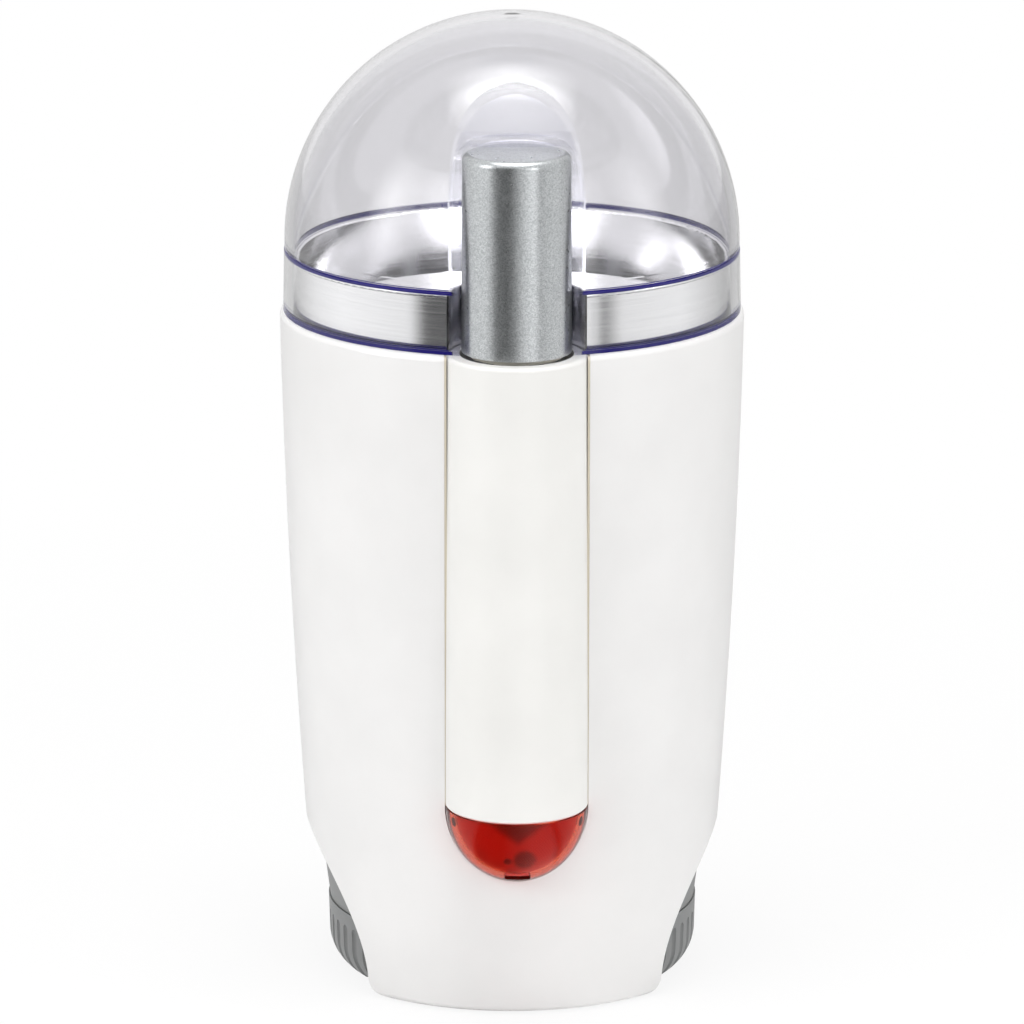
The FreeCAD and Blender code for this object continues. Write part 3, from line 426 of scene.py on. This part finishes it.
def ribs(tree, value):
    """One along thin parallel lines, nought between them."""
    turns = math_node(tree, "FRACT", math_node(tree, "DIVIDE", value, LENS_RIB_PITCH))
    off = math_node(tree, "ABSOLUTE", math_node(tree, "SUBTRACT", turns, 0.5))
    return remap(tree, off, LENS_RIB_FULL, LENS_RIB_END, 1.0, 0.0)


def spot(tree, x, down, centre_x, centre_down, radius):
    """One in the middle of a round spot, falling softly to nought at its edge."""
    off_x = math_node(tree, "SUBTRACT", x, centre_x)
    off_down = math_node(tree, "SUBTRACT", down, centre_down)
    return remap(tree, hypotenuse(tree, off_x, off_down), radius * 0.6, radius * 1.2, 1.0, 0.0)


def dark_patches(tree, x, down):
    """How dark the lamp and its holder look through the lens, from nought to PATCH_DARKNESS."""
    beside = math_node(tree, "DIVIDE", math_node(tree, "ABSOLUTE", x), WEDGE_HALF_WIDTH)
    wedge = math_node(tree, "ADD", beside, math_node(tree, "DIVIDE", down, WEDGE_DEPTH))
    patch = remap(tree, wedge, WEDGE_FULL, WEDGE_END, PATCH_DARKNESS, 0.0)
    for centre_x, centre_down, radius in SPOTS:
        round_patch = spot(tree, x, down, centre_x, centre_down, radius)
        share = math_node(tree, "MULTIPLY", round_patch, SPOT_DARKNESS)
        patch = math_node(tree, "MAXIMUM", patch, share)
    return patch


def lens_liner_red(centre, radius, lens_low):
    """The lens's ribbed inside: red with a fine diamond hatch, darker where the lamp and its tab lie."""
    made, tree, shader = new_material("lens_liner_red")
    x, y, z = split(tree, position(tree))
    down = math_node(tree, "SUBTRACT", centre.z, z)
    turn = math_node(tree, "ARCTAN2", x, math_node(tree, "SUBTRACT", centre.y, y))
    across = math_node(tree, "MULTIPLY", turn, radius)
    rising = ribs(tree, math_node(tree, "ADD", across, down))
    falling = ribs(tree, math_node(tree, "SUBTRACT", across, down))
    hatch = math_node(tree, "MAXIMUM", rising, falling)
    patch = dark_patches(tree, x, down)
    line_share = remap(tree, patch, 0.0, PATCH_DARKNESS, HATCH_CLEAR, HATCH_PATCH)
    lines = math_node(tree, "MULTIPLY", hatch, line_share)
    plain = math_node(tree, "MULTIPLY", patch, PATCH_SHARE)
    dark = math_node(tree, "ADD", plain, lines, clamp=True)
    red = mix_colour(tree, dark, (0.62, 0.14, 0.05), (0.05, 0.02, 0.015))
    height = math_node(tree, "SUBTRACT", z, lens_low)
    tab_middle = (LENS_TAB_LOW + LENS_TAB_HIGH) / 2
    tab_tall = near(tree, height, tab_middle, (LENS_TAB_HIGH - LENS_TAB_LOW) / 2)
    tab = math_node(tree, "MULTIPLY", tab_tall, near(tree, x, 0.0, LENS_TAB_HALF))
    tree.links.new(mix_colour(tree, tab, red, (0.1, 0.12, 0.15)), shader.inputs["Base Color"])
    shader.inputs["Roughness"].default_value = 0.3
    bump(tree, shader, hatch, 0.05 * MM, 0.5)
    return made


def seam_bounce_light():
    """Painted light: a tan colour standing in for the light that bounces between two pale plastics in a
    narrow gap.
    """
    return plastic("seam_bounce_light", (0.72, 0.65, 0.52), 0.6)


def lamp_glass():
    made, tree, shader = new_material("lamp_glass")
    clouds = noise(tree, 500.0)
    share = from_noise(tree, clouds)
    tint = mix_colour(tree, share, (0.10, 0.03, 0.02), (0.22, 0.06, 0.04))
    tree.links.new(tint, shader.inputs["Base Color"])
    shader.inputs["Roughness"].default_value = 0.12
    return made


def dress(node, material):
    """Puts a material in all of a CAD node's slots."""
    data = frame["nodes"][node].data
    if not data.materials:
        data.materials.append(material)
    for index in range(len(data.materials)):
        data.materials[index] = material


def lid_heights():
    """The lid's lower edge and the ledge over its skirt, both from the frame."""
    lid_low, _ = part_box("lid_dome")
    _, rim_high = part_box("grinding_bowl")
    return lid_low.z, rim_high.z + LID_EDGE_HALF


def dress_frame():
    low_edge, ledge = lid_heights()
    button_low, button_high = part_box("push_button")
    button_y = (button_low.y + button_high.y) / 2
    button_radius = (button_high.x - button_low.x) / 2
    white = plastic("body_white", (0.85, 0.843, 0.836), 0.38)
    cream = plastic("column_white", (0.86, 0.853, 0.828), 0.36)
    dark = plastic("dark_plastic", (0.022, 0.022, 0.024), 0.5)
    pale = plastic("inner_plastic", (0.8, 0.77, 0.68), 0.5)
    grey = plastic("base_grey", (0.235, 0.24, 0.24), 0.46, grain=3200.0, depth=0.03 * MM, dim=0.88)
    yellow = plastic("capacitor_yellow", (0.68, 0.42, 0.04), 0.35)
    bowl = bowl_metal("bowl_steel", (0.955, 0.955, 0.96), 0.13, button_y, button_radius + NOTCH_PAINTED_LIGHT_REACH)
    steel = ground_metal("blade_steel", (0.72, 0.72, 0.73), 0.24)
    zinc = ground_metal("screw_steel", (0.58, 0.59, 0.6), 0.3)
    wire = ground_metal("spring_steel", (0.5, 0.5, 0.51), 0.3)
    cast = ground_metal("bracket_metal", (0.5, 0.5, 0.52), 0.48)
    brass = ground_metal("brass", (0.7, 0.48, 0.2), 0.3)
    bronze = ground_metal("bearing_bronze", (0.42, 0.26, 0.12), 0.5)
    carbon = rubber("carbon", (0.03, 0.03, 0.03))
    seal = rubber("seal_rubber", (0.03, 0.03, 0.03))
    foot = rubber("foot_rubber", (0.035, 0.035, 0.037))
    copper = wound_wire("copper", (0.62, 0.26, 0.1))
    sheets = stacked_sheets("lamination", (0.2, 0.2, 0.21))
    materials = {
        "body_white": white,
        "column_white": cream,
        "lens_red": red_lens(),
        "dark_plastic": dark,
        "lamp_glass": lamp_glass(),
        "silver_paint": metallic_paint(),
        "inner_plastic": pale,
        "spring_steel": wire,
        "lid_clear": clear_lid(low_edge, ledge, button_y, button_radius),
        "bowl_steel": bowl,
        "seal_rubber": seal,
        "blade_steel": steel,
        "screw_steel": zinc,
        "lamination": sheets,
        "copper": copper,
        "brass": brass,
        "carbon": carbon,
        "bracket_metal": cast,
        "bearing_bronze": bronze,
        "base_grey": grey,
        "foot_rubber": foot,
        "capacitor_yellow": yellow,
    }
    for part in frame["record"]["subparts"]:
        dress(part["node"], materials[part["material_slot"]])


# Added pieces

def mesh_piece(name, points, faces, material, smooth=True):
    data = bpy.data.meshes.new(name)
    data.from_pydata(points, [], faces)
    data.update()
    data.materials.append(material)
    for polygon in data.polygons:
        polygon.use_smooth = smooth
    piece = bpy.data.objects.new(name, data)
    bpy.context.scene.collection.objects.link(piece)
    return piece


def lens_liner():
    """The lens's inner face, just inside it: the front half of an egg's lower half."""
    low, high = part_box("indicator_lens")
    inset = LENS_WALL + LENS_LINER_GAP
    half = (high.x - low.x) / 2
    radius = half - inset
    drop = high.z - low.z - inset
    centre = Vector(((low.x + high.x) / 2, low.y + half, high.z))
    columns = 2 * LENS_LINER_ROWS
    points = []
    for row in range(LENS_LINER_ROWS + 1):
        fall = math.pi / 2 * row / LENS_LINER_ROWS
        level = math.cos(fall) * radius
        for column in range(columns + 1):
            turn = math.pi * column / columns
            points.append((
                centre.x - level * math.cos(turn),
                centre.y - level * math.sin(turn),
                centre.z - math.sin(fall) * drop,
            ))
    across = columns + 1
    faces = []
    for row in range(LENS_LINER_ROWS):
        for column in range(columns):
            first = row * across + column
            faces.append((first, first + 1, first + across + 1, first + across))
    piece = mesh_piece("lens_liner", points, faces, lens_liner_red(centre, radius, low.z))
    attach(piece, "root")


def slot_edge(side, half):
    """The casing's outer edge beside the column, as (z, y) spots from below upwards."""
    housing = frame["nodes"]["housing"]
    lens_low, lens_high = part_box("indicator_lens")
    places = [housing.matrix_world @ vertex.co for vertex in housing.data.vertices]
    spots = sorted(
        (place.z, place.y)
        for place in places
        if abs(place.x - side * half) < SEAM_PLAY
        and place.z > lens_high.z - SEAM_PLAY
        and place.y < lens_low.y + half
    )
    edge = []
    for candidate in spots:
        while len(edge) > 1 and turns_inwards(edge[-2], edge[-1], candidate):
            edge.pop()
        edge.append(candidate)
    return edge


def turns_inwards(first, middle, last):
    """True where the middle of three (z, y) spots lies on or behind the line between the others."""
    slope = (last[1] - first[1]) * (middle[0] - first[0])
    return (middle[1] - first[1]) * (last[0] - first[0]) >= slope


def painted_seam_light():
    """A tan sheet of painted light deep in each of the two narrow gaps beside the column, standing in for
    light that bounces between the plastics. It runs a little way into the column.
    """
    lens_low, lens_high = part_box("indicator_lens")
    _, column_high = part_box("front_column")
    inner = (lens_high.x - lens_low.x) / 2
    outer = inner + SEAM_WIDTH
    points = []
    faces = []
    for side in (-1, 1):
        first = len(points)
        for z, y in slot_edge(side, outer):
            height = min(z, column_high.z)
            points.append((side * (inner - SEAM_OVERLAP), y + SEAM_DEPTH, height))
            points.append((side * (outer - SEAM_PLAY), y + SEAM_DEPTH, height))
        faces += [(at, at + 1, at + 3, at + 2) for at in range(first, len(points) - 2, 2)]
    # Painted light: tan sheets where the gaps would otherwise render in shade.
    piece = mesh_piece("painted_seam_light", points, faces, seam_bounce_light(), smooth=False)
    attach(piece, "root")


def pressed_spring():
    """A copy of the spring under the button, with a mesh of its own, in place of the CAD spring."""
    spring = frame["nodes"]["button_spring"]
    piece = bpy.data.objects.new("pressed_spring", spring.data.copy())
    piece.matrix_world = spring.matrix_world.copy()
    bpy.context.scene.collection.objects.link(piece)
    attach(piece, "root")
    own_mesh(piece)
    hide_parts("button_spring")


# Stage, lamps and camera

def seen_directly(tree):
    """One for rays from the camera or through a clear surface, and one for rays that mirror off one."""
    path = tree.nodes.new("ShaderNodeLightPath")
    plain = math_node(tree, "MAXIMUM", path.outputs["Is Camera Ray"], path.outputs["Is Transmission Ray"])
    return plain, path.outputs["Is Glossy Ray"]


def reflected_tone(tree, x, y):
    """The tone that gloss sees in a direction, by its azimuth."""
    azimuth = math_node(tree, "ARCTAN2", x, math_node(tree, "MULTIPLY", y, -1.0))
    ramp = tree.nodes.new("ShaderNodeValToRGB")
    tree.links.new(remap(tree, azimuth, -math.pi, math.pi, 0.0, 1.0), ramp.inputs[0])
    stops = ramp.color_ramp.elements
    for degrees, tone in REFLECTED_TONES[1:-1]:
        set_tone(stops.new((degrees + 180) / FULL_TURN_DEG), tone)
    set_tone(stops[0], REFLECTED_TONES[0][1])
    set_tone(stops[len(stops) - 1], REFLECTED_TONES[-1][1])
    return ramp.outputs[0]


def set_tone(stop, tone):
    stop.color = (tone, tone, tone, 1.0)


def floor_material():
    """A pale floor that the camera sees as nearly white, with the object's soft shadow."""
    made, tree, shader = new_material("floor")
    tone = from_noise(tree, noise(tree, 3.0))
    tree.links.new(mix_colour(tree, tone, (0.86, 0.86, 0.86), (0.9, 0.9, 0.9)), shader.inputs["Base Color"])
    shader.inputs["Roughness"].default_value = 0.9
    shader.inputs["Specular IOR Level"].default_value = 0.1
    plain, glossy = seen_directly(tree)
    x, y, _ = split(tree, position(tree))
    glow = tree.nodes.new("ShaderNodeEmission")
    shade = mix_colour(tree, glossy, (1.0, 1.0, 1.0), reflected_tone(tree, x, y))
    tree.links.new(shade, glow.inputs["Color"])
    both = tree.nodes.new("ShaderNodeMixShader")
    reach = remap(tree, hypotenuse(tree, x, y), SHADOW_REACH, WHITE_REACH, FLOOR_GLOW, 1.0)
    share = math_node(tree, "MAXIMUM", math_node(tree, "MULTIPLY", plain, reach), glossy)
    tree.links.new(share, both.inputs[0])
    tree.links.new(shader.outputs[0], both.inputs[1])
    tree.links.new(glow.outputs[0], both.inputs[2])
    tree.links.new(both.outputs[0], tree.nodes["Material Output"].inputs["Surface"])
    return made


def build_floor():
    sides = FLOOR_SIDES
    points = [
        (
            FLOOR_RADIUS * math.cos(2 * math.pi * side / sides),
            FLOOR_RADIUS * math.sin(2 * math.pi * side / sides),
            0.0,
        )
        for side in range(sides)
    ]
    floor = mesh_piece("floor", points, [tuple(range(sides))], floor_material(), smooth=False)


def build_world():
    world = bpy.data.worlds.new("studio")
    world.use_nodes = True
    tree = world.node_tree
    x, y, z = split(tree, tree.nodes.new("ShaderNodeTexCoord").outputs["Generated"])
    dull = math_node(tree, "SUBTRACT", AMBIENT, math_node(tree, "MULTIPLY", y, AMBIENT_FRONT))
    sky = (SKY_TONE, SKY_TONE, SKY_TONE)
    above = remap(tree, z, SKY_LOW, SKY_HIGH, 0.0, 1.0)
    gloss = mix_colour(tree, above, reflected_tone(tree, x, y), sky)
    plain, glossy = seen_directly(tree)
    seen = mix_colour(tree, plain, mix_colour(tree, glossy, dull, gloss), (1.0, 1.0, 1.0))
    background = tree.nodes["Background"]
    tree.links.new(seen, background.inputs["Color"])
    background.inputs["Strength"].default_value = 1.0
    bpy.context.scene.world = world


def around_object(azimuth_deg, elevation_deg, distance):
    """A place seen from the object's middle; azimuth 0 is the front."""
    azimuth = math.radians(azimuth_deg)
    elevation = math.radians(elevation_deg)
    flat = distance * math.cos(elevation)
    return Vector((
        flat * math.sin(azimuth),
        -flat * math.cos(azimuth),
        CAMERA_TARGET_Z + distance * math.sin(elevation),
    ))


def softbox(name, azimuth_deg, elevation_deg, width, height, watts, shows):
    """A lamp that fades towards its edges. One that doesn't show is left out of reflections."""
    light = bpy.data.lights.new(name, "AREA")
    light.shape = "RECTANGLE"
    light.size = width
    light.size_y = height
    light.energy = watts
    fade_edges(light)
    lamp = bpy.data.objects.new(name, light)
    lamp.location = around_object(azimuth_deg, elevation_deg, LAMP_DISTANCE)
    aim = Vector((0.0, 0.0, CAMERA_TARGET_Z)) - lamp.location
    lamp.rotation_euler = aim.to_track_quat("-Z", "Y").to_euler()
    lamp.visible_camera = False
    lamp.visible_glossy = shows
    bpy.context.scene.collection.objects.link(lamp)


def fade_edges(light):
    """Full strength in a lamp's middle, falling to nought at each edge."""
    light.use_nodes = True
    tree = light.node_tree
    across, along, _ = split(tree, tree.nodes.new("ShaderNodeNewGeometry").outputs["Parametric"])
    fades = []
    for value in (across, along):
        off = math_node(tree, "ABSOLUTE", math_node(tree, "SUBTRACT", value, 0.5))
        fades.append(remap(tree, off, LAMP_FULL, 0.5, 1.0, 0.0))
    strength = math_node(tree, "MULTIPLY", fades[0], fades[1])
    tree.links.new(strength, tree.nodes["Emission"].inputs["Strength"])


def build_lamps():
    for name, azimuth_deg, elevation_deg, width, height, watts, shows in LAMPS:
        softbox(name, azimuth_deg, elevation_deg, width, height, watts, shows)


def build_camera():
    data = bpy.data.cameras.new("camera")
    data.sensor_width = SENSOR_MM
    data.lens = FOCAL_PIXELS / PHOTO_PIXELS * SENSOR_MM
    camera = bpy.data.objects.new("camera", data)
    target = Vector((0.0, 0.0, CAMERA_TARGET_Z))
    camera.location = around_object(
        math.degrees(CAMERA_AZIMUTH), math.degrees(CAMERA_ELEVATION), CAMERA_DISTANCE
    )
    camera.rotation_euler = (target - camera.location).to_track_quat("-Z", "Y").to_euler()
    bpy.context.scene.collection.objects.link(camera)
    bpy.context.scene.camera = camera


dress_frame()
lens_liner()
painted_seam_light()
pressed_spring()
build_floor()
build_world()
build_lamps()
build_camera()
bpy.context.scene.view_settings.view_transform = "Standard"
